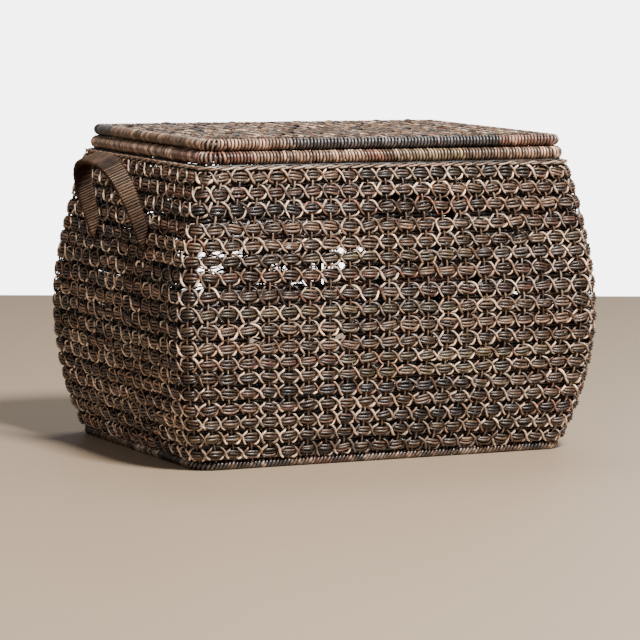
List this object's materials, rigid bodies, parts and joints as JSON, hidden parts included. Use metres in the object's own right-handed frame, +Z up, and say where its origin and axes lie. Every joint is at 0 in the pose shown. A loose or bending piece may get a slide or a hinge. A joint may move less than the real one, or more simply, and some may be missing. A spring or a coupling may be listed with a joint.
{
  "type": "wicker storage trunk",
  "caption": "Bulging woven storage trunk on a steel rod frame, with a flat hinged lid, whipped rims and wrapped strap handles on both ends.",
  "frame": {"origin": "centre of the footprint, at floor level", "axes": "+Z up, +X along the long side to the right, -Y the front; the lid is hinged at +Y"},
  "size_m": [0.7122, 0.4494, 0.43],
  "materials": {
    "wicker_weave": "satin",
    "wicker_stakes": "satin",
    "whipped_cord": "satin",
    "lid_panel": "satin",
    "handle_cane": "satin",
    "handle_cord": "satin",
    "frame_steel": "satin",
    "hinge_steel": "satin"
  },
  "bodies": {
    "trunk": {"base_rod": "frame_steel", "base_border": "whipped_cord", "floor_bars": "frame_steel", "floor_weave": "wicker_weave", "corner_post_front_left": "frame_steel", "corner_post_front_right": "frame_steel", "corner_post_back_left": "frame_steel", "corner_post_back_right": "frame_steel", "rib_front_left": "frame_steel", "rib_front_right": "frame_steel", "rib_back_left": "frame_steel", "rib_back_right": "frame_steel", "rib_left": "frame_steel", "rib_right": "frame_steel", "stakes_front": "wicker_stakes", "stakes_back": "wicker_stakes", "stakes_left": "wicker_stakes", "stakes_right": "wicker_stakes", "wall_front": "wicker_weave", "wall_back": "wicker_weave", "wall_left": "wicker_weave", "wall_right": "wicker_weave", "rim_twist": "whipped_cord", "rim_rod": "frame_steel", "rim_wrap": "whipped_cord", "handle_core_left": "handle_cane", "handle_core_right": "handle_cane", "handle_wrap_left": "handle_cord", "handle_wrap_right": "handle_cord", "hinge_body_left": "hinge_steel", "hinge_body_right": "hinge_steel", "hinge_pin_left": "hinge_steel", "hinge_pin_right": "hinge_steel"},
    "lid": {"hinge_lid_left": "hinge_steel", "hinge_lid_right": "hinge_steel", "lid_rod": "frame_steel", "lid_bars": "frame_steel", "lid_weave": "lid_panel", "lid_wrap": "whipped_cord"}
  },
  "joints": [
    {"name": "lid_hinge", "type": "hinge", "parent": "trunk", "child": "lid", "pos_m": [0, 0.1975, 0.417], "axis": [-1, 0, 0], "range_deg": [0, 105]}
  ]
}
